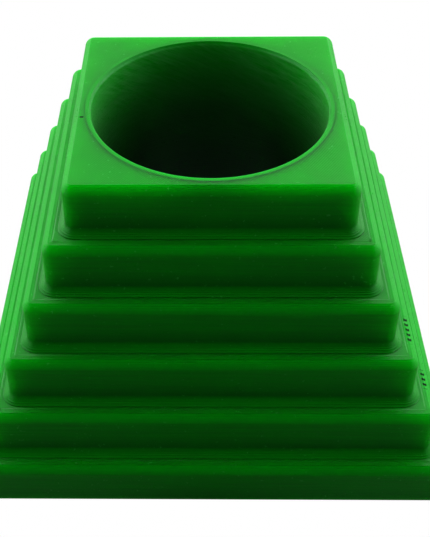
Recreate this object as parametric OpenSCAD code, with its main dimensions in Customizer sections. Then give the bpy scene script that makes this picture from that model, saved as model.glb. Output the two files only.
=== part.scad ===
// Stepped mounting block: six square tiers round a socket sleeve, drawn together by four tie screws.
// Millimetres, +Z up. The origin is the centre of the block on the surface that its feet stand on.

/* [Socket] */
// Diameter of the post that the socket takes, measured as the sleeve's bore
socket_d = 54.5; // [36:0.5:90]
// Wall of the sleeve that lines the socket
sleeve_wall = 1.35; // [1.2:0.05:4]
// Gap all round between the sleeve and the tiers
sleeve_gap = 0.1; // [0.05:0.05:0.3]
// Radius on the mouth of the socket, never more than the sleeve's wall less its land
mouth_r = 1.15; // [0.5:0.05:4]
// Width of the flat land between that radius and the sleeve's outside
mouth_land = 0.2; // [0.1:0.05:0.6]
// Thickness that the sleeve's flange keeps above the washers, where the screws clamp it
flange_seat = 2.2; // [1.5:0.1:3]
// Wall that the flange keeps outside its screw recesses
flange_wall = 1.5; // [1:0.1:3]

/* [Tiers] */
// Thinnest wall of the top tier, beside the sleeve
top_wall = 2.55; // [2:0.05:8]
// Width of each step, from one riser to the next
tread = 4.8; // [4.1:0.1:12]
// Height of the five upper tiers
riser = 12.5; // [10.5:0.5:30]
// Height of the base tier
base_h = 12; // [10:0.5:30]
// Radius of the upright corners
corner_r = 2.4; // [2.2:0.1:4]
// Radius on the top edge of every tier
edge_r = 2; // [0.5:0.1:2.1]
// Radius of the cove round the foot of every upper tier
cove_r = 1.6; // [0.5:0.1:2.2]
// Thickness of the cove's outer lip, where it sits on the tread
cove_lip = 0.2; // [0.1:0.1:0.8]
// Chamfer round the underside of the base tier
base_chamfer = 0.6; // [0.2:0.1:1.5]

/* [Tie screws] */
// Diameter of the screw's shank
screw_d = 4; // [3:0.5:5]
// Gap all round the shank in the tiers it passes through
screw_gap = 0.25; // [0.1:0.05:0.5]
// Distance from the screw's axis to the top tier's sides
screw_edge = 5; // [4.5:0.1:7]
// Diameter of the screw's head
head_d = 7; // [5.5:0.1:8.5]
// Height of the screw's head
head_h = 4; // [3:0.1:5]
// Width across the flats of the hexagon socket in the head
hex_w = 3; // [2:0.5:4]
// Depth of that hexagon socket
hex_depth = 2; // [1:0.1:3]
// Diameter of the washer under the head
washer_d = 9; // [8.6:0.1:10]
// Thickness of the washer
washer_t = 0.8; // [0.5:0.1:1.5]
// Depth of the recess that hides head and washer in the sleeve's flange
head_recess = 5.8; // [5:0.1:6.5]
// Gap all round the washer in its recess
recess_gap = 0.2; // [0.1:0.05:0.4]
// Length of the threaded insert in the top tier
insert_l = 8; // [4:0.5:9]
// Wall of the threaded insert
insert_wall = 0.75; // [0.5:0.05:1]
// Length of screw that turns into the insert
engagement = 8; // [4:0.1:8.5]
// Depth of the screw tip's clearance hole, past the insert
tip_room = 1; // [0.5:0.1:2]

/* [Feet] */
// Diameter of each rubber foot
foot_d = 12; // [8:0.5:16]
// Height of each foot, with the part that sits in its recess
foot_h = 2.5; // [2:0.1:4]
// Height that the feet hold the base tier off the surface
foot_stand = 0.5; // [0.3:0.1:1]
// Distance from the foot's axis to the base tier's sides
foot_edge = 11; // [10:0.5:14]
// Gap all round the foot in its recess
foot_gap = 0.1; // [0.05:0.05:0.3]
// Radius on the foot's lower edge
foot_edge_r = 0.4; // [0.2:0.1:0.8]

/* [Hidden] */
$fn = 96;
past = 1;          // how far a cutter runs past the face it opens
thread_gap = 0.05; // between the screw's thread and the insert's
insert_gap = 0.02; // between the insert and its hole

green = [0.09, 0.55, 0.12];
steel = [0.62, 0.63, 0.65];
brass = [0.78, 0.62, 0.28];
rubber = [0.05, 0.05, 0.05];

upper_tiers = 5;
sleeve_r = socket_d / 2 + sleeve_wall;
tier_bore_r = sleeve_r + sleeve_gap;
top_w = 2 * (tier_bore_r + top_wall);
base_w = top_w + 2 * upper_tiers * tread;
base_z = foot_stand;
stack_z = base_z + base_h;
top_z = stack_z + upper_tiers * riser;
mouth_radius = min(mouth_r, sleeve_wall - mouth_land);

screw_xy = top_w / 2 - screw_edge;
screw_hole_r = screw_d / 2 + screw_gap;
recess_r = washer_d / 2 + recess_gap;
flange_t = head_recess + flange_seat;
flange_r = screw_xy * sqrt(2) + recess_r + flange_wall;
washer_z = base_z + head_recess - washer_t;
insert_z = top_z - riser;
insert_r = screw_d / 2 + thread_gap + insert_wall;
foot_xy = base_w / 2 - foot_edge;

// Width and underside of a tier, counted down from the top one, which is 1
function tier_w(i) = top_w + 2 * (i - 1) * tread;
function tier_z(i) = top_z - i * riser;

// Four copies of the children, one over each corner of a square
module at_corners(xy) {
    for (sx = [-1, 1], sy = [-1, 1]) translate([sx * xy, sy * xy, 0]) children();
}

// Half of a tier's section, from the axis of its upright corner out to its face, with the top edge rounded
module upper_profile(h) {
    square([corner_r, h - edge_r]);
    square([corner_r - edge_r, h]);
    translate([corner_r - edge_r, h - edge_r]) intersection() {
        circle(edge_r);
        square(edge_r);
    }
}

// The cove and its lip, which stand out past the face
module cove_profile() {
    translate([corner_r, 0]) difference() {
        square([cove_r, cove_lip + cove_r]);
        translate([cove_r, cove_lip + cove_r]) circle(cove_r);
    }
}

module coved_profile(h) {
    upper_profile(h);
    cove_profile();
}

module chamfered_profile(h) {
    difference() {
        upper_profile(h);
        translate([corner_r, 0]) rotate(45) square(base_chamfer * sqrt(2), center = true);
    }
}

// A square block of width w whose four sides and corners follow the section given as a child
module square_block(w, h) {
    flat = w - 2 * corner_r;
    translate([-flat / 2, -flat / 2, 0]) cube([flat, flat, h]);
    for (turn = [0:90:270]) rotate(turn) {
        translate([flat / 2, flat / 2, 0]) rotate([90, 0, 0]) linear_extrude(flat) children();
        translate([flat / 2, flat / 2, 0]) rotate_extrude(angle = 90) children();
    }
}

module bored(h) {
    difference() {
        children();
        translate([0, 0, -past]) cylinder(h = h + 2 * past, r = tier_bore_r);
    }
}

// Top tier: blind holes from below for the threaded inserts and the tips of the screws
module top_tier() {
    color(green) translate([0, 0, insert_z]) difference() {
        bored(riser) square_block(top_w, riser) coved_profile(riser);
        at_corners(screw_xy) translate([0, 0, -past]) {
            cylinder(h = past + insert_l, r = insert_r + insert_gap);
            cylinder(h = past + insert_l + tip_room, r = screw_hole_r);
        }
    }
}

// Tiers 2 to 5: the same section, each a tread wider than the one above
module middle_tier(i) {
    color(green) translate([0, 0, tier_z(i)]) difference() {
        bored(riser) square_block(tier_w(i), riser) coved_profile(riser);
        at_corners(screw_xy) translate([0, 0, -past]) cylinder(h = riser + 2 * past, r = screw_hole_r);
    }
}

// Base tier: recesses below for the sleeve's flange and the feet
module base_tier() {
    color(green) translate([0, 0, base_z]) difference() {
        bored(base_h) square_block(base_w, base_h) chamfered_profile(base_h);
        translate([0, 0, -past]) cylinder(h = past + flange_t, r = flange_r + sleeve_gap);
        at_corners(screw_xy) cylinder(h = base_h + past, r = screw_hole_r);
        at_corners(foot_xy) translate([0, 0, -past])
            cylinder(h = past + foot_h - foot_stand, r = foot_d / 2 + foot_gap);
    }
}

// Section of the sleeve: its wall, the rounded mouth at the top and the flange at the foot
module sleeve_profile(length) {
    translate([socket_d / 2, 0]) square([sleeve_wall, length - mouth_radius]);
    translate([socket_d / 2 + mouth_radius, 0]) square([sleeve_wall - mouth_radius, length]);
    translate([socket_d / 2 + mouth_radius, length - mouth_radius]) intersection() {
        circle(mouth_radius);
        translate([-mouth_radius, 0]) square(mouth_radius);
    }
    translate([socket_d / 2, 0]) square([flange_r - socket_d / 2, flange_t]);
}

// Sleeve: lines the socket through all six tiers; its flange takes the heads of the screws
module socket_sleeve() {
    color(green) translate([0, 0, base_z]) difference() {
        rotate_extrude() sleeve_profile(top_z - base_z);
        at_corners(screw_xy) translate([0, 0, -past]) {
            cylinder(h = flange_t + 2 * past, r = screw_hole_r);
            cylinder(h = past + head_recess, r = recess_r);
        }
    }
}

module threaded_inserts() {
    color(brass) at_corners(screw_xy) translate([0, 0, insert_z]) difference() {
        cylinder(h = insert_l, r = insert_r);
        translate([0, 0, -past]) cylinder(h = insert_l + 2 * past, r = screw_d / 2 + thread_gap);
    }
}

module tie_screws() {
    color(steel) at_corners(screw_xy) translate([0, 0, washer_z - head_h]) difference() {
        union() {
            cylinder(h = head_h, d = head_d);
            cylinder(h = insert_z + engagement - washer_z + head_h, d = screw_d);
        }
        translate([0, 0, -past]) cylinder(h = past + hex_depth, r = hex_w / sqrt(3), $fn = 6);
    }
}

module tie_washers() {
    color(steel) at_corners(screw_xy) translate([0, 0, washer_z]) difference() {
        cylinder(h = washer_t, d = washer_d);
        translate([0, 0, -past]) cylinder(h = washer_t + 2 * past, r = screw_hole_r);
    }
}

// One foot, with its lower edge rounded, in the recess at the corner that sx and sy point to
module foot(sx, sy) {
    r = foot_d / 2;
    color(rubber) translate([sx * foot_xy, sy * foot_xy, 0]) rotate_extrude() {
        square([r - foot_edge_r, foot_h]);
        translate([0, foot_edge_r]) square([r, foot_h - foot_edge_r]);
        translate([r - foot_edge_r, foot_edge_r]) intersection() {
            circle(foot_edge_r);
            translate([0, -foot_edge_r]) square(foot_edge_r);
        }
    }
}

top_tier();
middle_tier(2);  // tier_2
middle_tier(3);  // tier_3
middle_tier(4);  // tier_4
middle_tier(5);  // tier_5
base_tier();
socket_sleeve();
threaded_inserts();
tie_screws();
tie_washers();
foot(-1, -1);  // foot_front_left
foot(1, -1);  // foot_front_right
foot(-1, 1);  // foot_back_left
foot(1, 1);  // foot_back_right
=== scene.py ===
# %% [markdown]
# # A stepped mounting block, printed in green plastic
# Six square tiers stand round a deep socket. The CAD frame gives every piece its place and size;
# this file gives the pieces the surface of a real print: layers, beads, seams and a soft gloss.

# %% Load the frame
import math

import bmesh
import bpy
from mathutils import Matrix, Vector


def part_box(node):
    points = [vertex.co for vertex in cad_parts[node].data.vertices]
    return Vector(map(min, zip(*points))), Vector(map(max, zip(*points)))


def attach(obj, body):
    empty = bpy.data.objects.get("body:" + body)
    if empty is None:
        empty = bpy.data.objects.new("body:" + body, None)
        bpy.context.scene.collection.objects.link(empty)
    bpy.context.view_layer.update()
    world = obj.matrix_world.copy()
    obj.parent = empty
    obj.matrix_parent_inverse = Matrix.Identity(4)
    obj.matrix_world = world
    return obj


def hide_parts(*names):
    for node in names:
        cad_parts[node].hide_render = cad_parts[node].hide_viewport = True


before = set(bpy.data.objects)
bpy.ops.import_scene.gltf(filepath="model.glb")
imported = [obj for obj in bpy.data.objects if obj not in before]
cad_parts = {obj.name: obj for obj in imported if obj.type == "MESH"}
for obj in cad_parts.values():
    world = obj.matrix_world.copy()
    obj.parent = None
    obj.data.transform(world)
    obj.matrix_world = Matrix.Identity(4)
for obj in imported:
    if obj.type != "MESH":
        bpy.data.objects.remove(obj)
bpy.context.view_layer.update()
MM = 0.001
print("nodes", sorted(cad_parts))

# %% [markdown]
# ## Sizes
# Places come from the frame's boxes. The radii can't be read from a box, so they are named here
# with the values that the CAD source uses.

# %% Sizes in metres
TIERS = ["top_tier", "tier_2", "tier_3", "tier_4", "tier_5", "base_tier"]
CORNER_R, EDGE_R, COVE_R, COVE_LIP, BASE_CHAMFER = 2.4 * MM, 2 * MM, 1.6 * MM, 0.2 * MM, 0.6 * MM
SLEEVE_GAP, MOUTH_R, FLANGE_T, HEAD_RECESS = 0.1 * MM, 1.15 * MM, 8 * MM, 5.8 * MM
SCREW_EDGE, SCREW_HOLE_R, RECESS_R = 5 * MM, 2.25 * MM, 4.7 * MM
INSERT_HOLE_R, INSERT_DEPTH, TIP_DEPTH = 2.82 * MM, 8 * MM, 9 * MM
HEAD_R, HEAD_H, SHANK_R, HEX_W, HEX_DEPTH = 3.5 * MM, 4 * MM, 2 * MM, 3 * MM, 2 * MM
FOOT_GAP = 0.1 * MM
SOCKET_R, SLEEVE_R = 27.25 * MM, 28.6 * MM
LAYER, BEAD, LINE_W = 0.25 * MM, 0.045 * MM, 0.42 * MM

foot_low, foot_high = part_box("foot_back_right")
sleeve_low, sleeve_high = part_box("socket_sleeve")
top_low, top_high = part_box("top_tier")
screw_low, screw_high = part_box("tie_screws")
FOOT_R = (foot_high[0] - foot_low[0]) / 2
FOOT_XY = (foot_high[0] + foot_low[0]) / 2
FLANGE_R = sleeve_high[0]
TOP_HALF = top_high[0] - COVE_R
SCREW_XY = TOP_HALF - SCREW_EDGE
TOP_Z, RISER = top_high[2], top_high[2] - top_low[2]
print("top half width", round(TOP_HALF / MM, 3), "screws at", round(SCREW_XY / MM, 3))

# %% [markdown]
# ## Small helpers for node trees
# A node tree is quicker to read when each line adds one node and wires it. `add` makes a node,
# `calc` makes a Math node, and both take either numbers or sockets.

# %% Node helpers
def put(tree, socket, value):
    if isinstance(value, bpy.types.NodeSocket):
        tree.links.new(value, socket)
    elif value is not None:
        socket.default_value = value


def add(tree, kind, inputs=None, **settings):
    node = tree.nodes.new(kind)
    for name, value in settings.items():
        setattr(node, name, value)
    for name, value in (inputs or {}).items():
        put(tree, node.inputs[name], value)
    return node


def calc(tree, operation, *values):
    node = add(tree, "ShaderNodeMath", operation=operation)
    for socket, value in zip(node.inputs, values):
        put(tree, socket, value)
    return node.outputs[0]


def plus(tree, a, b):
    return calc(tree, "ADD", a, b)


def minus(tree, a, b):
    return calc(tree, "SUBTRACT", a, b)


def times(tree, a, b):
    return calc(tree, "MULTIPLY", a, b)


def ratio(tree, a, b):
    return calc(tree, "DIVIDE", a, b)


def larger(tree, a, b):
    return calc(tree, "MAXIMUM", a, b)


def smaller(tree, a, b):
    return calc(tree, "MINIMUM", a, b)


def vec(tree, x=0.0, y=0.0, z=0.0):
    return add(tree, "ShaderNodeCombineXYZ", {"X": x, "Y": y, "Z": z}).outputs[0]


def vmath(tree, operation, *values):
    node = add(tree, "ShaderNodeVectorMath", operation=operation)
    for socket, value in zip(node.inputs, values):
        put(tree, socket, value)
    return node.outputs["Value" if operation in ("LENGTH", "DOT_PRODUCT") else "Vector"]


def split(tree, vector):
    return add(tree, "ShaderNodeSeparateXYZ", {0: vector}).outputs


def new_group(name, kind, inputs, outputs):
    tree = bpy.data.node_groups.new(name, kind)
    for socket_name, socket_type, value in inputs:
        socket = tree.interface.new_socket(name=socket_name, in_out="INPUT", socket_type=socket_type)
        if value is not None:
            socket.default_value = value
    for socket_name, socket_type in outputs:
        tree.interface.new_socket(name=socket_name, in_out="OUTPUT", socket_type=socket_type)
    return tree, tree.nodes.new("NodeGroupInput").outputs, tree.nodes.new("NodeGroupOutput").inputs


# %% [markdown]
# ## Studio colours and shared surface effects
# Printed plastic shows three things at close range: fine horizontal streaks where the layers
# catch the light, diagonal lines on flat tops, and a few specks and pinholes. Each effect is a
# shader group, so both green materials use it with their own values.

# %% Group: layer streaks
FLOAT, VECTOR = "NodeSocketFloat", "NodeSocketVector"


def shader_group(name, inputs, outputs):
    return new_group(name, "ShaderNodeTree", inputs, outputs)


tree, given, result = shader_group(
    "Layer streaks",
    [("Position", VECTOR, None), ("Length", FLOAT, 0.03), ("Thickness", FLOAT, 0.0006),
     ("Slant", FLOAT, 0.0)],
    [("Streak", FLOAT), ("Height", FLOAT)],
)
x, y, z = split(tree, given["Position"])
level = plus(tree, z, times(tree, plus(tree, x, y), given["Slant"]))
along = ratio(tree, 1.0, given["Length"])
across = ratio(tree, 1.0, given["Thickness"])
stretched = vec(tree, times(tree, x, along), times(tree, y, along),
                times(tree, level, across))
broad = add(tree, "ShaderNodeTexNoise", {
    "Vector": stretched, "Scale": 1.0, "Detail": 3.0, "Roughness": 0.6})
fine = add(tree, "ShaderNodeTexNoise", {
    "Vector": vmath(tree, "MULTIPLY", stretched, (2.3, 2.3, 3.1)), "Scale": 1.0, "Detail": 2.0,
    "Roughness": 0.5})
both = plus(tree, times(tree, broad.outputs[0], 0.65),
            times(tree, fine.outputs[0], 0.35))
shaped = add(tree, "ShaderNodeMapRange", {"Value": both, "From Min": 0.36, "From Max": 0.64},
             clamp=True)
put(tree, result["Streak"], shaped.outputs[0])
put(tree, result["Height"], both)
STREAKS = tree

# %% Group: diagonal fill lines on the flat tops
tree, given, result = shader_group(
    "Fill lines",
    [("Position", VECTOR, None), ("Facing Up", FLOAT, 1.0), ("Line Width", FLOAT, LINE_W)],
    [("Height", FLOAT)],
)
x, y, z = split(tree, given["Position"])
diagonal = ratio(tree, times(tree, plus(tree, x, y), 0.7071), given["Line Width"])
ridge = calc(tree, "SINE", times(tree, diagonal, math.tau))
grain = add(tree, "ShaderNodeTexNoise", {"Vector": given["Position"], "Scale": 900.0, "Detail": 3.0})
height = plus(tree, times(tree, ridge, 0.35), times(tree, grain.outputs[0], 1.2))
put(tree, result["Height"], times(tree, height, given["Facing Up"]))
FILL_LINES = tree

# %% Group: a row of print gaps
# Where a fill line just misses the outline it leaves a small pit. The pit is not cut into the
# surface: its dark is painted shade, and it is rougher. A row of them has a centre, a length
# along Y, a pitch and a pit size.
tree, given, result = shader_group(
    "Print gaps",
    [("Position", VECTOR, None), ("Centre", VECTOR, None), ("Half Length", FLOAT, 0.004),
     ("Pitch", FLOAT, 0.0013), ("Pit Width", FLOAT, 0.0006), ("Pit Length", FLOAT, 0.0006)],
    [("Gap", FLOAT)],
)
x, y, z = split(tree, vmath(tree, "SUBTRACT", given["Position"], given["Centre"]))
place = calc(tree, "PINGPONG", y, ratio(tree, given["Pitch"], 2.0))
near_x = calc(tree, "LESS_THAN", calc(tree, "ABSOLUTE", x), ratio(tree, given["Pit Width"], 2.0))
near_y = calc(tree, "LESS_THAN", place, ratio(tree, given["Pit Length"], 2.0))
near_z = calc(tree, "LESS_THAN", calc(tree, "ABSOLUTE", z), 0.0005)
in_row = calc(tree, "LESS_THAN", calc(tree, "ABSOLUTE", y), given["Half Length"])
put(tree, result["Gap"], times(tree, times(tree, near_x, near_y),
                              times(tree, near_z, in_row)))
PRINT_GAPS = tree

# %% Group: fine grain
tree, given, result = shader_group(
    "Fine grain",
    [("Position", VECTOR, None), ("Scale", FLOAT, 1500.0), ("Low", FLOAT, 0.0), ("High", FLOAT, 1.0)],
    [("Value", FLOAT), ("Height", FLOAT)],
)
noise = add(tree, "ShaderNodeTexNoise", {
    "Vector": given["Position"], "Scale": given["Scale"], "Detail": 4.0})
spread = add(tree, "ShaderNodeMapRange", {
    "Value": noise.outputs[0], "From Min": 0.3, "From Max": 0.7, "To Min": given["Low"],
    "To Max": given["High"]})
put(tree, result["Value"], spread.outputs[0])
put(tree, result["Height"], noise.outputs[0])
GRAIN = tree

# %% Material helpers
def new_material(name, **constants):
    material = bpy.data.materials.new(name)
    material.use_nodes = True
    tree = material.node_tree
    shader = tree.nodes["Principled BSDF"]
    for key, value in constants.items():
        shader.inputs[key.replace("_", " ")].default_value = value
    position = tree.nodes.new("ShaderNodeTexCoord").outputs["Object"]
    return material, tree, shader, position


def use(tree, group, **inputs):
    node = tree.nodes.new("ShaderNodeGroup")
    node.node_tree = group
    for name, value in inputs.items():
        put(tree, node.inputs[name.replace("_", " ")], value)
    return node.outputs


def bump(tree, height, distance, strength=1.0, normal=None):
    return add(tree, "ShaderNodeBump", {
        "Height": height, "Distance": distance, "Strength": strength, "Normal": normal}).outputs[0]


def mix_colour(tree, amount, a, b):
    return add(tree, "ShaderNodeMix", {0: amount, 6: a, 7: b}, data_type="RGBA").outputs[2]


# %% [markdown]
# ## Green printed plastic
# The plastic is a deep, pure green that lets a lot of light in. Full subsurface scattering over
# about a centimetre makes the top edges glow into the dark risers, and the pale cast on the top
# is the gloss of the plastic. Light alone left the risers too even, so light and shade are also
# painted into the colour by height: painted shade at each tier's foot, painted light on its edge,
# and painted shade down in the socket, where the wall also carries painted sheen. A real print is
# one even green, so that part is painted, and it is the same from every side.

# %% Greens
GREEN = (0.0008, 0.56, 0.007, 1.0)
GREEN_DARK = (0.0010, 0.38, 0.005, 1.0)
GREEN_EDGE_LIGHT = (0.0010, 0.62, 0.008, 1.0)
GREEN_FOOT_SHADE = (0.0008, 0.30, 0.004, 1.0)
GREEN_WORN = (0.018, 0.40, 0.010, 1.0)
GREEN_PAINTED_SHEEN = (0.060, 0.60, 0.080, 1.0)
GREEN_DEPTH_SHADE = (0.0003, 0.030, 0.0010, 1.0)
GREEN_PIT_SHADE = (0.0, 0.02, 0.0, 1.0)
PALE_SPECK = (0.10, 0.75, 0.12, 1.0)


def ramp(tree, value, start, end, low=0.0, high=1.0):
    return add(tree, "ShaderNodeMapRange", {
        "Value": value, "From Min": start, "From Max": end, "To Min": low, "To Max": high}).outputs[0]


# %% Colours by height on a tier, with painted shade and painted light
# Every tier is one riser high, so the height above a tier's own foot is what is left after
# whole risers are taken away. The small shift keeps a tread on the side of the tier below.
# That height puts painted shade at each tier's foot and painted light on its top edge.
FOOT_SHIFT = 0.1 * MM
FOOT_SHADE_IN, FOOT_SHADE_OUT = (0.4 * MM, 2.0 * MM), (2.2 * MM, 6 * MM)
EDGE_LIGHT_IN = (RISER - 2.2 * MM, RISER - 0.6 * MM)
COVE_OUT = (1.4 * MM, 2.4 * MM)


def tier_colours(tree, shader, position, colour, facing_up):
    level = split(tree, position)[2]
    shifted = plus(tree, level, FOOT_SHIFT - TOP_Z + len(TIERS) * RISER)
    foot = minus(tree, calc(tree, "FLOORED_MODULO", shifted, RISER), FOOT_SHIFT)
    worn = use(tree, STREAKS, Position=position, Length=22 * MM, Thickness=1.5 * MM, Slant=0.12)
    colour = mix_colour(tree, times(tree, worn["Streak"], 0.35), colour, GREEN_WORN)
    # Painted shade: the colour darkens towards each tier's foot.
    low = times(tree, ramp(tree, foot, *FOOT_SHADE_IN), ramp(tree, foot, *FOOT_SHADE_OUT, 1.0, 0.0))
    colour = mix_colour(tree, low, colour, GREEN_FOOT_SHADE)
    # Painted light: the rounded top edge of each tier is a brighter green.
    edge = times(tree, ramp(tree, foot, *EDGE_LIGHT_IN), minus(tree, 1.0, facing_up))
    colour = mix_colour(tree, edge, colour, GREEN_EDGE_LIGHT)
    specks = use(tree, GRAIN, Position=position, Scale=1100.0, Low=0.0, High=1.0)
    colour = mix_colour(tree, ramp(tree, specks["Value"], 0.95, 1.0, 0.0, 0.5), colour, PALE_SPECK)
    above_tread = calc(tree, "GREATER_THAN", foot, FOOT_SHIFT + 0.02 * MM)
    in_cove = times(tree, above_tread, ramp(tree, foot, *COVE_OUT, 0.8, 0.0))
    has_cove = calc(tree, "GREATER_THAN", level, RISER)
    put(tree, shader.inputs["Subsurface Weight"], minus(tree, 1.0, times(tree, in_cove, has_cove)))
    return colour


# %% Colours inside the socket: painted sheen and painted shade
# Near the mouth the wall carries grey-green wisps of painted sheen; further down, painted shade
# turns it a deep green.
MOUTH_BAND, FADE_DEPTH = 1.2 * MM, 8.5 * MM


def socket_colours(tree, shader, position, colour, up):
    level = split(tree, position)[2]
    # Painted shade: the colour falls off to a deep green with depth below the mouth band.
    below_rim = larger(tree, minus(tree, TOP_Z - MOUTH_BAND, level), 0.0)
    kept = calc(tree, "POWER", math.exp(-1), ratio(tree, below_rim, FADE_DEPTH))
    radius = vmath(tree, "LENGTH", vmath(tree, "MULTIPLY", position, (1.0, 1.0, 0.0)))
    in_bore = times(tree, calc(tree, "LESS_THAN", radius, SOCKET_R + 0.2 * MM),
                    calc(tree, "GREATER_THAN", up, -0.5))
    # Painted sheen: grey-green wisps on the bore wall stand in for the gloss of its layers.
    sheen_wisps = use(tree, STREAKS, Position=position, Length=7 * MM, Thickness=1.1 * MM, Slant=0.5)
    colour = mix_colour(tree, times(tree, in_bore, times(tree, sheen_wisps["Streak"], 0.9)),
                        colour, GREEN_PAINTED_SHEEN)
    shader.inputs["Sheen Weight"].default_value = 0.12
    shader.inputs["Sheen Roughness"].default_value = 0.35
    shader.inputs["Subsurface Weight"].default_value = 0.3
    return mix_colour(tree, times(tree, in_bore, minus(tree, 1.0, kept)), colour, GREEN_DEPTH_SHADE)


# %% Material: green print
# Light travels about a centimetre in the plastic; the bumps are a few hundredths of a millimetre.
SCATTER_SCALE = 0.013
STREAK_BUMP, FILL_BUMP, GRAIN_BUMP = 0.03 * MM, 0.03 * MM, 0.012 * MM
PIT_ROUGH = 0.9


def green_print(name, streak_length, gap_rows=(), in_socket=False):
    material, tree, shader, position = new_material(
        name, Subsurface_Weight=1.0, Subsurface_Scale=SCATTER_SCALE, IOR=1.45,
        Specular_IOR_Level=0.34, Subsurface_Radius=(0.1, 1.0, 0.2),
        Specular_Tint=(0.70, 0.85, 1.0, 1.0))
    up = split(tree, add(tree, "ShaderNodeNewGeometry").outputs["Normal"])[2]
    facing_up = ramp(tree, up, 0.9, 0.99)
    streaks = use(tree, STREAKS, Position=position, Length=streak_length, Thickness=0.7 * MM,
                  Slant=0.012)
    fill = use(tree, FILL_LINES, Position=position, Facing_Up=facing_up)
    grain = use(tree, GRAIN, Position=position, Scale=2600.0, Low=0.0, High=1.0)
    colour = mix_colour(tree, times(tree, streaks["Streak"], 0.7), GREEN, GREEN_DARK)
    rough = plus(tree, ramp(tree, grain["Value"], 0.0, 1.0, 0.24, 0.36),
                 times(tree, streaks["Streak"], 0.08))
    if in_socket:
        colour = socket_colours(tree, shader, position, colour, up)
    else:
        colour = tier_colours(tree, shader, position, colour, facing_up)
    gaps = 0.0
    for centre, half_length, pitch, width, length in gap_rows:
        row = use(tree, PRINT_GAPS, Position=position, Centre=centre, Half_Length=half_length,
                  Pitch=pitch, Pit_Width=width, Pit_Length=length)
        gaps = larger(tree, gaps, row["Gap"])
    if gap_rows:
        # Painted shade: each pit is darkened in the colour, since its hole is not modelled.
        colour = mix_colour(tree, gaps, colour, GREEN_PIT_SHADE)
        rough = larger(tree, rough, times(tree, gaps, PIT_ROUGH))
    put(tree, shader.inputs["Base Color"], colour)
    put(tree, shader.inputs["Roughness"], rough)
    normal = bump(tree, streaks["Height"], STREAK_BUMP)
    normal = bump(tree, fill["Height"], FILL_BUMP, normal=normal)
    put(tree, shader.inputs["Normal"], bump(tree, grain["Height"], GRAIN_BUMP, normal=normal))
    return material


# %% The two green materials
# A row of gaps has a centre, a half length, a pitch, and the width and length of one pit.
ROWS = [
    ((-28.95 * MM, -5.4 * MM, TOP_Z), 0.5 * MM, 1.0 * MM, 0.85 * MM, 0.6 * MM),
    ((44.3 * MM, -35.3 * MM, TOP_Z - 37.5 * MM), 4.2 * MM, 1.5 * MM, 0.9 * MM, 0.7 * MM),
    ((49.0 * MM, -39.1 * MM, TOP_Z - 50 * MM), 2.8 * MM, 1.5 * MM, 0.9 * MM, 0.7 * MM),
]
green_tiers = green_print("green_tiers", 30 * MM, gap_rows=ROWS)
green_sleeve = green_print("green_sleeve", 14 * MM, in_socket=True)
for material in (green_tiers, green_sleeve):
    print(material.name, "has", len(material.node_tree.nodes), "nodes")

# %% [markdown]
# ## Steel, brass and rubber
# The screws and washers are zinc plated, the inserts are turned brass and the feet are matt
# moulded rubber. They sit under the block or inside it, so their materials are simple.

# %% Materials: hardware
def hardware(name, colour, dark, metallic, low, high, scale, depth):
    material, tree, shader, position = new_material(name, Metallic=metallic)
    grain = use(tree, GRAIN, Position=position, Scale=scale, Low=0.0, High=1.0)
    put(tree, shader.inputs["Base Color"], mix_colour(tree, grain["Value"], colour, dark))
    put(tree, shader.inputs["Roughness"], ramp(tree, grain["Value"], 0.0, 1.0, low, high))
    put(tree, shader.inputs["Normal"], bump(tree, grain["Height"], depth))
    return material


zinc_screw = hardware(
    "zinc_screw", (0.50, 0.51, 0.53, 1), (0.40, 0.41, 0.42, 1), 1.0, 0.22, 0.38, 2500, 0.005 * MM)
zinc_washer = hardware(
    "zinc_washer", (0.60, 0.61, 0.62, 1), (0.48, 0.49, 0.5, 1), 1.0, 0.2, 0.4, 1800, 0.005 * MM)
brass_insert = hardware(
    "brass_insert", (0.72, 0.50, 0.18, 1), (0.55, 0.36, 0.12, 1), 1.0, 0.25, 0.45, 2000, 0.01 * MM)
black_rubber = hardware(
    "black_rubber", (0.022, 0.022, 0.023, 1), (0.035, 0.035, 0.036, 1), 0.0, 0.6, 0.8, 1600,
    0.02 * MM)
print("hardware materials ready")

# %% [markdown]
# ## Turning a node tree into a plain mesh
# Each printed piece is grown by Geometry Nodes on an empty object, and the result is then kept as
# an ordinary mesh. Doubles are merged first, so that the normals can be made to point outwards.

# %% From a tree to a finished piece
def grow(name, tree, values, node_names):
    piece = bpy.data.objects.new(name, bpy.data.meshes.new(name))
    bpy.context.collection.objects.link(piece)
    modifier = piece.modifiers.new("grow", "NODES")
    modifier.node_group = tree
    for item in tree.interface.items_tree:
        if item.in_out == "INPUT" and item.name in values:
            modifier[item.identifier] = values[item.name]
    bpy.context.view_layer.update()
    mesh = bpy.data.meshes.new_from_object(piece.evaluated_get(bpy.context.evaluated_depsgraph_get()))
    piece.modifiers.clear()
    mesh.name = name
    piece.data = mesh
    return finish_piece(piece, node_names)


def finish_piece(piece, node_names):
    shape = bmesh.new()
    shape.from_mesh(piece.data)
    bmesh.ops.remove_doubles(shape, verts=shape.verts, dist=0.0005 * MM)
    bmesh.ops.dissolve_degenerate(shape, edges=shape.edges, dist=0.0001 * MM)
    bmesh.ops.recalc_face_normals(shape, faces=shape.faces)
    open_edges = sum(1 for edge in shape.edges if not edge.is_manifold)
    triangles = sum(len(face.verts) - 2 for face in shape.faces)
    shape.to_mesh(piece.data)
    shape.free()
    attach(piece, "root")
    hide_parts(*node_names)
    print(piece.name, "triangles", triangles, "open edges", open_edges)
    return piece


# %% [markdown]
# ## The printed skin
# A printer lays a wall as a stack of beads. Wherever the design curves inwards or outwards, each
# layer stops a little short or reaches a little further, and that is what makes the small
# terraces on rounded edges and the contour lines in a cove. The skin follows that rule: a
# rounded square is swept up one vertical line, and each point is then pushed out or in by the
# section's offset at its own layer.

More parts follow.
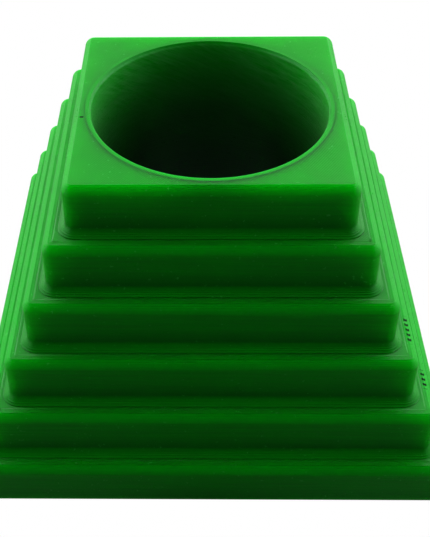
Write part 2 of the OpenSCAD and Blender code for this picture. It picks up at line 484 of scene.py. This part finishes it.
# %% Group: rounded square
GEOMETRY = "NodeSocketGeometry"
INT, MATERIAL = "NodeSocketInt", "NodeSocketMaterial"


def geometry_group(name, inputs, outputs):
    return new_group(name, "GeometryNodeTree", inputs, outputs)


tree, given, result = geometry_group(
    "Rounded square",
    [("Half Width", FLOAT, 0.03), ("Corner Radius", FLOAT, 0.003), ("Corner Points", INT, 10)],
    [("Curve", GEOMETRY)])
width = times(tree, given["Half Width"], 2.0)
square = add(tree, "GeometryNodeCurvePrimitiveQuadrilateral", {"Width": width, "Height": width},
             mode="RECTANGLE")
rounded = add(tree, "GeometryNodeFilletCurve", {
    "Curve": square.outputs[0], "Count": given["Corner Points"], "Radius": given["Corner Radius"]},
    mode="POLY")
put(tree, result["Curve"], rounded.outputs[0])
ROUNDED_SQUARE = tree

# %% Group: printed skin
tree, given, result = geometry_group(
    "Printed skin",
    [("Half Width", FLOAT, 0.03), ("Height", FLOAT, 0.0125), ("Corner Radius", FLOAT, CORNER_R),
     ("Edge Radius", FLOAT, EDGE_R), ("Cove Radius", FLOAT, COVE_R), ("Cove Lip", FLOAT, COVE_LIP),
     ("Chamfer", FLOAT, 0.0), ("Layer", FLOAT, LAYER), ("Bead", FLOAT, BEAD),
     ("Line Width", FLOAT, LINE_W), ("Top Lines", INT, 3), ("Wobble", FLOAT, 0.006 * MM),
     ("Seed", INT, 1)],
    [("Skin", GEOMETRY), ("Top Edge", GEOMETRY), ("Foot Edge", GEOMETRY)],
)
POINTS_PER_LAYER = 4
SAMPLE, EDGE_SAMPLE = 0.2, 0.7
layers = calc(tree, "ROUND", ratio(tree, given["Height"], given["Layer"]))
wall_points = times(tree, layers, POINTS_PER_LAYER)
points = plus(tree, wall_points, times(tree, given["Top Lines"], POINTS_PER_LAYER))


def circle_rise(tree, radius, along):
    """Height of a circle's arc above its middle line, at a distance along that line."""
    squares = minus(tree, calc(tree, "POWER", radius, 2.0), calc(tree, "POWER", along, 2.0))
    return calc(tree, "SQRT", larger(tree, squares, 0.0))


def section_offset(height, edge_height):
    """How far the section stands out: cove and chamfer at one height, round-over at the other."""
    edge_start = minus(tree, given["Height"], given["Edge Radius"])
    over = larger(tree, minus(tree, edge_height, edge_start), 0.0)
    edge = minus(tree, circle_rise(tree, given["Edge Radius"], over), given["Edge Radius"])
    cove_end = plus(tree, given["Cove Lip"], given["Cove Radius"])
    under = smaller(tree, larger(tree, minus(tree, cove_end, height), 0.0), given["Cove Radius"])
    cove = minus(tree, given["Cove Radius"], circle_rise(tree, given["Cove Radius"], under))
    bevel = larger(tree, minus(tree, given["Chamfer"], height), 0.0)
    return minus(tree, plus(tree, edge, cove), bevel)


index = add(tree, "GeometryNodeInputIndex").outputs[0]
layer = calc(tree, "FLOOR", ratio(tree, plus(tree, index, 0.1), POINTS_PER_LAYER))
step = minus(tree, index, times(tree, layer, POINTS_PER_LAYER))
phase = plus(tree, times(tree, step, 0.94 / 3), 0.03)
on_groove = calc(tree, "GREATER_THAN", calc(tree, "ABSOLUTE", minus(tree, step, 1.5)), 1.0)
inner_point = times(tree, calc(tree, "GREATER_THAN", index, 0.5),
                   calc(tree, "LESS_THAN", index, minus(tree, points, 1.5)))
groove = times(tree, times(tree, on_groove, given["Bead"]), inner_point)
jitter = add(tree, "FunctionNodeRandomValue", {"ID": layer, "Seed": given["Seed"]}, data_type="FLOAT")
wobble = times(tree, times(tree, jitter.outputs[1], given["Wobble"]), inner_point)
wall_z = times(tree, times(tree, plus(tree, layer, phase), given["Layer"]),
              calc(tree, "GREATER_THAN", index, 0.5))
wall_out = minus(tree, minus(tree, section_offset(
    times(tree, plus(tree, layer, SAMPLE), given["Layer"]),
    times(tree, plus(tree, layer, EDGE_SAMPLE), given["Layer"])), groove), wobble)
top_level = minus(tree, given["Height"], times(tree, given["Layer"], 1 - EDGE_SAMPLE))
top_layer = section_offset(given["Height"], top_level)
top_run = times(tree, plus(tree, minus(tree, layer, layers), phase), given["Line Width"])
top_out = minus(tree, top_layer, top_run)
top_z = minus(tree, given["Height"], times(tree, groove, 0.8))
on_top = calc(tree, "GREATER_THAN", index, minus(tree, wall_points, 0.5))


def choose(tree, switch, no, yes):
    return plus(tree, times(tree, minus(tree, 1.0, switch), no),
                times(tree, switch, yes))


line = add(tree, "GeometryNodeCurvePrimitiveLine", {"End": (0.0, -1.0, 0.0)})
line = add(tree, "GeometryNodeResampleCurve", {"Curve": line.outputs[0], "Count": points}, mode="COUNT")
line = add(tree, "GeometryNodeStoreNamedAttribute", {
    "Geometry": line.outputs[0], "Name": "stand_out",
    "Value": choose(tree, on_top, wall_out, top_out)}, data_type="FLOAT", domain="POINT")
line = add(tree, "GeometryNodeSetPosition", {
    "Geometry": line.outputs[0],
    "Position": vec(tree, 0.0, times(tree, choose(tree, on_top, wall_z, top_z), -1.0), 0.0)})
outline = add(tree, "GeometryNodeGroup", {}, node_tree=ROUNDED_SQUARE)
put(tree, outline.inputs["Half Width"], given["Half Width"])
put(tree, outline.inputs["Corner Radius"], given["Corner Radius"])
upright = add(tree, "GeometryNodeSetCurveNormal", {"Curve": outline.outputs[0]}, mode="Z_UP")
swept = add(tree, "GeometryNodeCurveToMesh", {
    "Curve": upright.outputs[0], "Profile Curve": line.outputs[0]})

spot = add(tree, "GeometryNodeInputPosition").outputs[0]
inner = minus(tree, given["Half Width"], given["Corner Radius"])
sx, sy, sz = split(tree, spot)


def clamp_to(tree, value, limit):
    return larger(tree, smaller(tree, value, limit), times(tree, limit, -1.0))


outward = vmath(tree, "NORMALIZE", vec(tree, minus(tree, sx, clamp_to(tree, sx, inner)),
                                       minus(tree, sy, clamp_to(tree, sy, inner)), 0.0))
stand_out = add(tree, "GeometryNodeInputNamedAttribute", {"Name": "stand_out"},
                data_type="FLOAT").outputs[0]
push = add(tree, "ShaderNodeVectorMath", {0: outward, "Scale": stand_out}, operation="SCALE").outputs[0]
skin = add(tree, "GeometryNodeSetPosition", {"Geometry": swept.outputs[0], "Offset": push})
put(tree, result["Skin"], skin.outputs[0])
last_run = times(tree, minus(tree, given["Top Lines"], 0.03), given["Line Width"])
edges = {"Top Edge": minus(tree, top_layer, last_run),
         "Foot Edge": section_offset(times(tree, given["Layer"], SAMPLE), 0.0)}
for name, offset in edges.items():
    loop = add(tree, "GeometryNodeGroup", {}, node_tree=ROUNDED_SQUARE)
    put(tree, loop.inputs["Half Width"], plus(tree, given["Half Width"], offset))
    put(tree, loop.inputs["Corner Radius"], plus(tree, given["Corner Radius"], offset))
    put(tree, result[name], loop.outputs[0])
PRINTED_SKIN = tree

# %% [markdown]
# ## Walls, sheets and holes
# The rest of a tier is flat sheets and round walls. A sheet is filled between loops, so a loop
# inside another leaves a hole. Sheets share their loops with the walls, which closes the mesh.
# One place stays open: on the five lower tiers three lines on top run past the centre of the
# corner's radius, which leaves a pinhole under half a millimetre wide at each corner.

# %% Helpers for sheets and walls
def circle(tree, radius, points=96):
    return add(tree, "GeometryNodeCurvePrimitiveCircle", {
        "Radius": radius, "Resolution": points}).outputs[0]


def four_of(tree, curve, spacing):
    corners = add(tree, "GeometryNodeMeshGrid", {
        "Size X": spacing, "Size Y": spacing, "Vertices X": 2, "Vertices Y": 2})
    copies = add(tree, "GeometryNodeInstanceOnPoints", {
        "Points": corners.outputs[0], "Instance": curve})
    return add(tree, "GeometryNodeRealizeInstances", {"Geometry": copies.outputs[0]}).outputs[0]


def join(tree, *parts):
    node = tree.nodes.new("GeometryNodeJoinGeometry")
    for part in parts:
        tree.links.new(part, node.inputs[0])
    return node.outputs[0]


def at_height(tree, geometry, height):
    return add(tree, "GeometryNodeTransform", {
        "Geometry": geometry, "Translation": vec(tree, 0, 0, height)}).outputs[0]


def sheet(tree, height, *loops):
    filled = add(tree, "GeometryNodeFillCurve", {"Curve": join(tree, *loops)}, mode="TRIANGLES")
    return at_height(tree, filled.outputs[0], height)


def wall(tree, loops, low, high):
    line = add(tree, "GeometryNodeCurvePrimitiveLine", {
        "Start": vec(tree, 0, times(tree, low, -1.0), 0),
        "End": vec(tree, 0, times(tree, high, -1.0), 0)})
    upright = add(tree, "GeometryNodeSetCurveNormal", {"Curve": loops}, mode="Z_UP")
    return add(tree, "GeometryNodeCurveToMesh", {
        "Curve": upright.outputs[0], "Profile Curve": line.outputs[0]}).outputs[0]


def close_tree(tree, result, smooth, flat, bottom, material):
    smooth = add(tree, "GeometryNodeSetShadeSmooth", {
        "Geometry": join(tree, *smooth), "Shade Smooth": True}).outputs[0]
    flat = add(tree, "GeometryNodeSetShadeSmooth", {
        "Geometry": join(tree, *flat), "Shade Smooth": False}).outputs[0]
    whole = at_height(tree, join(tree, smooth, flat), bottom)
    real = add(tree, "GeometryNodeRealizeInstances", {"Geometry": whole}).outputs[0]
    shaded = add(tree, "GeometryNodeSetMaterial", {"Geometry": real, "Material": material})
    put(tree, result["Geometry"], shaded.outputs[0])


# %% Inputs that every tier's tree has
TIER_INPUTS = [
    ("Half Width", FLOAT, TOP_HALF), ("Height", FLOAT, 0.0125), ("Bottom", FLOAT, 0.0),
    ("Top Lines", INT, 3), ("Cove Radius", FLOAT, COVE_R), ("Chamfer", FLOAT, 0.0),
    ("Bore Radius", FLOAT, SLEEVE_R + SLEEVE_GAP), ("Screw Hole Radius", FLOAT, SCREW_HOLE_R),
    ("Screw Spacing", FLOAT, 2 * SCREW_XY), ("Seed", INT, 1), ("Material", MATERIAL, None),
]


def tier_tree(name, extra=()):
    tree, given, result = geometry_group(name, TIER_INPUTS + list(extra), [("Geometry", GEOMETRY)])
    skin = add(tree, "GeometryNodeGroup", {}, node_tree=PRINTED_SKIN)
    for name in ("Half Width", "Height", "Cove Radius", "Chamfer", "Top Lines", "Seed"):
        put(tree, skin.inputs[name], given[name])
    bore = circle(tree, given["Bore Radius"])
    holes = four_of(tree, circle(tree, given["Screw Hole Radius"], 32), given["Screw Spacing"])
    return tree, given, result, skin.outputs, bore, holes


# %% Tree: a middle tier
tree, given, result, skin, bore, holes = tier_tree("Middle tier")
close_tree(
    tree, result,
    [skin["Skin"], wall(tree, bore, 0.0, given["Height"]), wall(tree, holes, 0.0, given["Height"])],
    [sheet(tree, given["Height"], skin["Top Edge"], bore, holes),
     sheet(tree, 0.0, skin["Foot Edge"], bore, holes)],
    given["Bottom"], given["Material"])
MIDDLE_TIER = tree

# %% Tree: the top tier, with blind holes for the inserts and the screw tips
# The last bead round the bore stands inwards, so the joint with the sleeve is a hair line.
LAST_BEAD_OUT = 0.08 * MM
tree, given, result, skin, bore, holes = tier_tree(
    "Top tier", [("Insert Hole Radius", FLOAT, INSERT_HOLE_R), ("Insert Depth", FLOAT, INSERT_DEPTH),
                 ("Tip Depth", FLOAT, TIP_DEPTH)])
insert_holes = four_of(tree, circle(tree, given["Insert Hole Radius"], 32), given["Screw Spacing"])
bead = circle(tree, minus(tree, given["Bore Radius"], LAST_BEAD_OUT))
under_bead = minus(tree, given["Height"], LAYER)
close_tree(
    tree, result,
    [skin["Skin"], wall(tree, bore, 0.0, under_bead), wall(tree, bead, under_bead, given["Height"]),
     wall(tree, insert_holes, 0.0, given["Insert Depth"]),
     wall(tree, holes, given["Insert Depth"], given["Tip Depth"])],
    [sheet(tree, given["Height"], skin["Top Edge"], bead), sheet(tree, under_bead, bore, bead),
     sheet(tree, 0.0, skin["Foot Edge"], bore, insert_holes),
     sheet(tree, given["Insert Depth"], insert_holes, holes), sheet(tree, given["Tip Depth"], holes)],
    given["Bottom"], given["Material"])
TOP_TIER = tree

# %% Tree: the base tier, with recesses for the sleeve's flange and the feet
tree, given, result, skin, bore, holes = tier_tree(
    "Base tier", [("Flange Recess Radius", FLOAT, FLANGE_R + SLEEVE_GAP),
                  ("Flange Recess Depth", FLOAT, FLANGE_T),
                  ("Foot Recess Radius", FLOAT, FOOT_R + FOOT_GAP),
                  ("Foot Spacing", FLOAT, 2 * FOOT_XY), ("Foot Recess Depth", FLOAT, 0.002)])
recess = circle(tree, given["Flange Recess Radius"], 128)
pads = four_of(tree, circle(tree, given["Foot Recess Radius"], 48), given["Foot Spacing"])
deep, shallow = given["Flange Recess Depth"], given["Foot Recess Depth"]
close_tree(
    tree, result,
    [skin["Skin"], wall(tree, bore, deep, given["Height"]), wall(tree, holes, deep, given["Height"]),
     wall(tree, recess, 0.0, deep), wall(tree, pads, 0.0, shallow)],
    [sheet(tree, given["Height"], skin["Top Edge"], bore, holes),
     sheet(tree, deep, recess, bore, holes),
     sheet(tree, 0.0, skin["Foot Edge"], recess, pads), sheet(tree, shallow, pads)],
    given["Bottom"], given["Material"])
BASE_TIER = tree

# %% Grow the six tiers
for number, node in enumerate(TIERS):
    low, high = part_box(node)
    is_top, is_base = number == 0, number == len(TIERS) - 1
    values = {
        "Half Width": high[0] - (0.0 if is_base else COVE_R), "Height": high[2] - low[2],
        "Bottom": low[2], "Top Lines": 1 if is_top else 3,
        "Cove Radius": 1e-6 if is_base else COVE_R,
        "Chamfer": BASE_CHAMFER if is_base else 0.0, "Seed": 11 + number, "Material": green_tiers,
    }
    kind = TOP_TIER if is_top else BASE_TIER if is_base else MIDDLE_TIER
    if is_base:
        values["Foot Recess Depth"] = foot_high[2] - low[2]
    grow("printed_" + node, kind, values, [node])

# %% [markdown]
# ## The socket sleeve
# The sleeve is the one round print. Its inside shows the same layers, and the mouth's round-over
# turns into terraces that close up as the wall becomes upright.

# %% Tree: the sleeve
tree, given, result = geometry_group(
    "Socket sleeve",
    [("Socket Radius", FLOAT, SOCKET_R), ("Outer Radius", FLOAT, SLEEVE_R), ("Length", FLOAT, 0.0745),
     ("Mouth Radius", FLOAT, MOUTH_R), ("Flange Radius", FLOAT, FLANGE_R),
     ("Flange Thickness", FLOAT, FLANGE_T), ("Recess Radius", FLOAT, RECESS_R),
     ("Recess Depth", FLOAT, HEAD_RECESS), ("Hole Radius", FLOAT, SCREW_HOLE_R),
     ("Screw Spacing", FLOAT, 2 * SCREW_XY), ("Layer", FLOAT, LAYER), ("Bead", FLOAT, BEAD),
     ("Seed", INT, 3), ("Bottom", FLOAT, 0.0005), ("Material", MATERIAL, None)],
    [("Geometry", GEOMETRY)],
)
STEPS = 3
SLEEVE_WOBBLE = 0.008 * MM
layers = calc(tree, "ROUND", ratio(tree, given["Length"], given["Layer"]))
points = times(tree, layers, STEPS)
index = add(tree, "GeometryNodeInputIndex").outputs[0]
layer = calc(tree, "FLOOR", ratio(tree, plus(tree, index, 0.1), STEPS))
step = minus(tree, index, times(tree, layer, STEPS))
phase = plus(tree, times(tree, step, 0.46), 0.04)
first = calc(tree, "LESS_THAN", index, 0.5)
last = calc(tree, "GREATER_THAN", index, minus(tree, points, 1.5))
inner_point = minus(tree, minus(tree, 1.0, first), last)
groove = times(tree, calc(tree, "GREATER_THAN", calc(tree, "ABSOLUTE", minus(tree, step, 1.0)), 0.5),
              times(tree, given["Bead"], inner_point))
jitter = add(tree, "FunctionNodeRandomValue", {"ID": layer, "Seed": given["Seed"]}, data_type="FLOAT")
wobble = times(tree, times(tree, jitter.outputs[1], SLEEVE_WOBBLE), inner_point)
level = times(tree, plus(tree, layer, SAMPLE), given["Layer"])
over = larger(tree, minus(tree, level, minus(tree, given["Length"], given["Mouth Radius"])), 0.0)
mouth = minus(tree, given["Mouth Radius"], circle_rise(tree, given["Mouth Radius"], over))
radius = plus(tree, plus(tree, given["Socket Radius"], mouth), plus(tree, groove, wobble))
z = times(tree, times(tree, plus(tree, layer, phase), given["Layer"]),
         minus(tree, 1.0, first))
z = choose(tree, last, z, given["Length"])
line = add(tree, "GeometryNodeCurvePrimitiveLine", {"End": (0.0, -1.0, 0.0)})
line = add(tree, "GeometryNodeResampleCurve", {"Curve": line.outputs[0], "Count": points}, mode="COUNT")
line = add(tree, "GeometryNodeStoreNamedAttribute", {
    "Geometry": line.outputs[0], "Name": "ring_radius", "Value": radius},
    data_type="FLOAT", domain="POINT")
line = add(tree, "GeometryNodeSetPosition", {
    "Geometry": line.outputs[0], "Position": vec(tree, 0.0, times(tree, z, -1.0), 0.0)})
upright = add(tree, "GeometryNodeSetCurveNormal", {"Curve": circle(tree, 1.0)}, mode="Z_UP")
swept = add(tree, "GeometryNodeCurveToMesh", {
    "Curve": upright.outputs[0], "Profile Curve": line.outputs[0]})
sx, sy, sz = split(tree, add(tree, "GeometryNodeInputPosition").outputs[0])
ring = add(tree, "GeometryNodeInputNamedAttribute", {"Name": "ring_radius"},
           data_type="FLOAT").outputs[0]
inside = add(tree, "GeometryNodeSetPosition", {
    "Geometry": swept.outputs[0],
    "Position": vec(tree, times(tree, sx, ring), times(tree, sy, ring), sz)}).outputs[0]
top_level = times(tree, given["Layer"], 0.8)
top_over = minus(tree, given["Mouth Radius"], top_level)
top_mouth = minus(tree, given["Mouth Radius"], circle_rise(tree, given["Mouth Radius"], top_over))
land = plus(tree, given["Socket Radius"], top_mouth)
tube, flange = circle(tree, given["Outer Radius"]), circle(tree, given["Flange Radius"], 128)
bore, land_loop = circle(tree, given["Socket Radius"]), circle(tree, land)
holes = four_of(tree, circle(tree, given["Hole Radius"], 32), given["Screw Spacing"])
seats = four_of(tree, circle(tree, given["Recess Radius"], 48), given["Screw Spacing"])
thick, deep = given["Flange Thickness"], given["Recess Depth"]
close_tree(
    tree, result,
    [inside, wall(tree, tube, thick, given["Length"]), wall(tree, flange, 0.0, thick),
     wall(tree, seats, 0.0, deep), wall(tree, holes, deep, thick)],
    [sheet(tree, given["Length"], tube, land_loop), sheet(tree, thick, flange, tube, holes),
     sheet(tree, 0.0, flange, bore, seats), sheet(tree, deep, seats, holes)],
    given["Bottom"], given["Material"])
SLEEVE = tree
grow("printed_sleeve", SLEEVE, {
    "Length": sleeve_high[2] - sleeve_low[2], "Bottom": sleeve_low[2], "Material": green_sleeve},
    ["socket_sleeve"])

# %% [markdown]
# ## The tie screws
# Four screws of one kind are a repeat, so one screw is made in the tree and placed on the four
# corners of a grid. The head's knurl is a rule too: its radius rises and falls with the angle.

# %% Tree: the tie screws
tree, given, result = geometry_group(
    "Tie screws",
    [("Head Radius", FLOAT, HEAD_R), ("Head Height", FLOAT, HEAD_H), ("Shank Radius", FLOAT, SHANK_R),
     ("Length", FLOAT, 0.065), ("Hex Width", FLOAT, HEX_W), ("Hex Depth", FLOAT, HEX_DEPTH),
     ("Knurls", INT, 30), ("Knurl Depth", FLOAT, 0.12 * MM), ("Spacing", FLOAT, 2 * SCREW_XY),
     ("Bottom", FLOAT, 0.0015), ("Material", MATERIAL, None)],
    [("Geometry", GEOMETRY)],
)
head = add(tree, "GeometryNodeMeshCylinder", {
    "Vertices": times(tree, given["Knurls"], 4), "Side Segments": 12, "Radius": given["Head Radius"],
    "Depth": given["Head Height"]}, fill_type="NGON")
px, py, pz = split(tree, add(tree, "GeometryNodeInputPosition").outputs[0])
angle = calc(tree, "ARCTAN2", py, px)
ripple = times(tree, minus(tree, 1.0, calc(
    tree, "COSINE", times(tree, angle, given["Knurls"]))), times(tree, given["Knurl Depth"], 0.5))
end = minus(tree, calc(tree, "ABSOLUTE", ratio(tree, pz, given["Head Height"])), 0.35)
ease = times(tree, calc(tree, "POWER", larger(tree, end, 0.0), 2.0), 0.020)
shrink = ratio(tree, minus(tree, given["Head Radius"], plus(tree, ripple, ease)), given["Head Radius"])
head = add(tree, "GeometryNodeSetPosition", {
    "Geometry": head.outputs[0],
    "Position": vec(tree, times(tree, px, shrink), times(tree, py, shrink), pz)})
head = at_height(tree, head.outputs[0], ratio(tree, given["Head Height"], 2.0))
socket = add(tree, "GeometryNodeMeshCylinder", {
    "Vertices": 6, "Radius": ratio(tree, given["Hex Width"], math.sqrt(3)),
    "Depth": times(tree, given["Hex Depth"], 2.0)}, fill_type="NGON")
shank_length = plus(tree, given["Length"], ratio(tree, given["Head Height"], 2.0))
shank = add(tree, "GeometryNodeMeshCylinder", {
    "Vertices": 32, "Radius": given["Shank Radius"], "Depth": shank_length}, fill_type="NGON")
shank = at_height(tree, shank.outputs[0], plus(
    tree, ratio(tree, given["Head Height"], 2.0), ratio(tree, shank_length, 2.0)))
solid = add(tree, "GeometryNodeMeshBoolean", {}, operation="UNION", solver="EXACT")
tree.links.new(head, solid.inputs["Mesh 2"])
tree.links.new(shank, solid.inputs["Mesh 2"])
cut = add(tree, "GeometryNodeMeshBoolean", {"Mesh 1": solid.outputs[0]},
          operation="DIFFERENCE", solver="EXACT")
tree.links.new(socket.outputs[0], cut.inputs["Mesh 2"])
corners = add(tree, "GeometryNodeMeshGrid", {
    "Size X": given["Spacing"], "Size Y": given["Spacing"], "Vertices X": 2, "Vertices Y": 2})
copies = add(tree, "GeometryNodeInstanceOnPoints", {
    "Points": corners.outputs[0], "Instance": cut.outputs[0]})
real = add(tree, "GeometryNodeRealizeInstances", {
    "Geometry": at_height(tree, copies.outputs[0], given["Bottom"])})
shaded = add(tree, "GeometryNodeSetMaterial", {
    "Geometry": real.outputs[0], "Material": given["Material"]})
put(tree, result["Geometry"], shaded.outputs[0])
screw_set = grow("tie_screw_set", tree, {
    "Length": screw_high[2] - screw_low[2] - HEAD_H, "Bottom": screw_low[2], "Material": zinc_screw},
    ["tie_screws"])
screw_set.data.set_sharp_from_angle(angle=math.radians(35))

# %% [markdown]
# ## The rubber feet
# A foot is a moulded disc, so it is turned from a section: a shallow dish and one grip groove
# underneath, a rounded lower edge and a plain side that sits in its recess.

# %% Turn the feet
def turned(name, section, centre, steps=64):
    mesh = bpy.data.meshes.new(name)
    shape = bmesh.new()
    rings = []
    for radius, height in section:
        if radius == 0:
            rings.append([shape.verts.new((centre[0], centre[1], height))] * steps)
            continue
        rings.append([shape.verts.new((centre[0] + radius * math.cos(math.tau * k / steps),
                                       centre[1] + radius * math.sin(math.tau * k / steps), height))
                      for k in range(steps)])
    for low, high in zip(rings, rings[1:]):
        for k in range(steps):
            corners = [low[k], low[(k + 1) % steps], high[(k + 1) % steps], high[k]]
            unique = list(dict.fromkeys(corners))
            if len(unique) > 2:
                shape.faces.new(unique)
    shape.to_mesh(mesh)
    shape.free()
    piece = bpy.data.objects.new(name, mesh)
    bpy.context.collection.objects.link(piece)
    return piece


def foot_section(radius, height):
    edge = 0.4 * MM
    dish = [(0, 0.35 * MM), (1.2 * MM, 0.33 * MM), (2.3 * MM, 0.22 * MM), (3.0 * MM, 0.06 * MM),
            (3.2 * MM, 0)]
    groove = [(3.9 * MM, 0), (4.0 * MM, 0.14 * MM), (4.3 * MM, 0.2 * MM), (4.6 * MM, 0.14 * MM),
              (4.7 * MM, 0)]
    turn = [(radius - edge + edge * math.sin(a), edge - edge * math.cos(a))
            for a in [math.radians(15 * k) for k in range(7)]]
    top = [(radius, height - 0.1 * MM), (radius - 0.1 * MM, height), (0, height)]
    return dish + groove + turn + top


FEET = ((-1, -1, "front_left"), (1, -1, "front_right"), (-1, 1, "back_left"), (1, 1, "back_right"))
for side_x, side_y, name in FEET:
    foot = turned("rubber_foot_" + name, foot_section(FOOT_R, foot_high[2]),
                  (side_x * FOOT_XY, side_y * FOOT_XY))
    foot.data.materials.append(black_rubber)
    foot.data.shade_smooth()
    finish_piece(foot, ["foot_" + name])
    foot.data.set_sharp_from_angle(angle=math.radians(40))

# %% [markdown]
# ## CAD pieces that stay
# The inserts are sealed inside the top tier and the washers lie behind the screw heads. Their CAD
# shapes are right as they are and only take a material.

# %% Give the kept pieces their metal
for node, material in (("threaded_inserts", brass_insert), ("tie_washers", zinc_washer)):
    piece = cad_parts[node]
    piece.data.materials.clear()
    piece.data.materials.append(material)
    print(node, "takes", material.name)

# %% [markdown]
# ## Floor, light and camera
# The block stands on a white sweep. The camera sees it plain white; for all other rays it glows
# with painted bounce light, least in front, where the glow stands in for the block's shadow. The
# light comes from soft panels behind and beside the block, so the tops carry a pale sheen and the
# front risers stay dark. The sweep and the world both show plain white, so no horizon is seen.

# %% Helpers for directions
# A direction is taken round the block and above the floor, never from where the camera stands.
def from_front(tree, east, north):
    """Angle from the front, round either side, to the back: 0 to pi."""
    return calc(tree, "ARCTAN2", calc(tree, "ABSOLUTE", east), times(tree, north, -1.0))


def span(tree, angle, start, end, low, high):
    """A ramp whose two ends are given in degrees."""
    return ramp(tree, angle, math.radians(start), math.radians(end), low, high)


def window(tree, angle, start, full, full_end, end):
    """1 between two angles, with a straight ramp on each side."""
    return times(tree, span(tree, angle, start, full, 0.0, 1.0),
                 span(tree, angle, full_end, end, 1.0, 0.0))


# %% The floor
floor = bpy.data.objects.new("studio_floor", bpy.data.meshes.new("studio_floor"))
bpy.context.collection.objects.link(floor)
shape = bmesh.new()
bmesh.ops.create_grid(shape, x_segments=1, y_segments=1, size=3.0)
shape.to_mesh(floor.data)
shape.free()
sweep = bpy.data.materials.new("white_sweep")
sweep.use_nodes = True
tree = sweep.node_tree
tree.nodes.clear()
paths = tree.nodes.new("ShaderNodeLightPath").outputs
FLOOR_FRONT, FLOOR_SIDE, FLOOR_BACK = 0.05, 0.18, 0.20
spot = split(tree, tree.nodes.new("ShaderNodeTexCoord").outputs["Object"])
turn = from_front(tree, spot[0], spot[1])
bounce = plus(tree, span(tree, turn, 0, 90, FLOOR_FRONT, FLOOR_SIDE),
              span(tree, turn, 90, 180, 0.0, FLOOR_BACK - FLOOR_SIDE))
bounce_glow = add(tree, "ShaderNodeEmission", {"Color": (1, 1, 1, 1), "Strength": bounce}).outputs[0]
glow = add(tree, "ShaderNodeEmission", {"Color": (1, 1, 1, 1), "Strength": 1.0}).outputs[0]
clear = add(tree, "ShaderNodeBsdfTransparent").outputs[0]
seen = add(tree, "ShaderNodeMixShader", {0: paths["Is Camera Ray"], 1: bounce_glow, 2: glow}).outputs[0]
below = add(tree, "ShaderNodeNewGeometry").outputs["Backfacing"]
final = add(tree, "ShaderNodeMixShader", {0: below, 1: seen, 2: clear}).outputs[0]
put(tree, add(tree, "ShaderNodeOutputMaterial").inputs["Surface"], final)
floor.data.materials.append(sweep)

# %% The studio's light: panels behind and at the sides, dim in front
# Each panel spans turns from the front and heights above the floor, in degrees, with soft ends.
PANELS = [
    ((135, 180, 180, 181), (35, 58, 58, 81), 0.7),
    ((90, 135, 135, 180), (12, 35, 35, 58), 5.3),
    ((90, 135, 135, 180), (-1, 0, 12, 35), 2.0),
    ((45, 90, 90, 135), (12, 35, 35, 58), 3.0),
    ((45, 90, 90, 135), (-1, 0, 12, 35), 0.16),
]
world = bpy.data.worlds.new("studio")
bpy.context.scene.world = world
world.use_nodes = True
tree = world.node_tree
tree.nodes.clear()
direction = vmath(tree, "NORMALIZE", add(tree, "ShaderNodeTexCoord").outputs["Generated"])
east, north, rise = split(tree, direction)
turn, height = from_front(tree, east, north), calc(tree, "ARCSINE", rise)
panels = 0.0
for turns, heights, power in PANELS:
    lit = times(tree, window(tree, turn, *turns), window(tree, height, *heights))
    panels = plus(tree, panels, times(tree, lit, power))
plainly_seen = add(tree, "ShaderNodeLightPath").outputs["Is Camera Ray"]
strength = add(tree, "ShaderNodeMix", {0: plainly_seen, 2: panels, 3: 1.0}).outputs[0]
glow = add(tree, "ShaderNodeBackground", {"Color": (1, 1, 1, 1), "Strength": strength}).outputs[0]
put(tree, add(tree, "ShaderNodeOutputWorld").inputs["Surface"], glow)

# %% The camera
# Place in half widths of the top tier from the middle of its top face, and turns in radians.
FOCAL, LONG_SIDE, SENSOR = 976.3, 537.0, 36.0
VIEW_X, VIEW_Y, VIEW_Z = -0.0755, -5.9677, 4.0219
PITCH, YAW, ROLL = 0.6862, -0.0246, -0.0174
SHIFT_X, SHIFT_Y = 34.0, -74.0
camera_data = bpy.data.cameras.new("studio_camera")
camera_data.sensor_width = SENSOR
camera_data.lens = FOCAL * SENSOR / LONG_SIDE
camera_data.shift_x, camera_data.shift_y = SHIFT_X / LONG_SIDE, SHIFT_Y / LONG_SIDE
camera_data.clip_start, camera_data.clip_end = 0.01, 20.0
camera = bpy.data.objects.new("studio_camera", camera_data)
bpy.context.collection.objects.link(camera)
look = Vector((math.sin(YAW) * math.cos(PITCH), math.cos(YAW) * math.cos(PITCH), -math.sin(PITCH)))
right = Vector((math.cos(YAW), -math.sin(YAW), 0.0))
over = right.cross(look)
right, over = (math.cos(ROLL) * right + math.sin(ROLL) * over,
               math.cos(ROLL) * over - math.sin(ROLL) * right)
place = Vector((VIEW_X, VIEW_Y, VIEW_Z)) * TOP_HALF + Vector((0, 0, TOP_Z))
camera.matrix_world = Matrix.Translation(place) @ Matrix((right, over, -look)).transposed().to_4x4()
bpy.context.scene.camera = camera
bpy.context.scene.view_settings.view_transform = "Standard"
bpy.context.scene.view_settings.look = "None"
print("camera at", [round(v, 4) for v in place], "lens", round(camera_data.lens, 2))
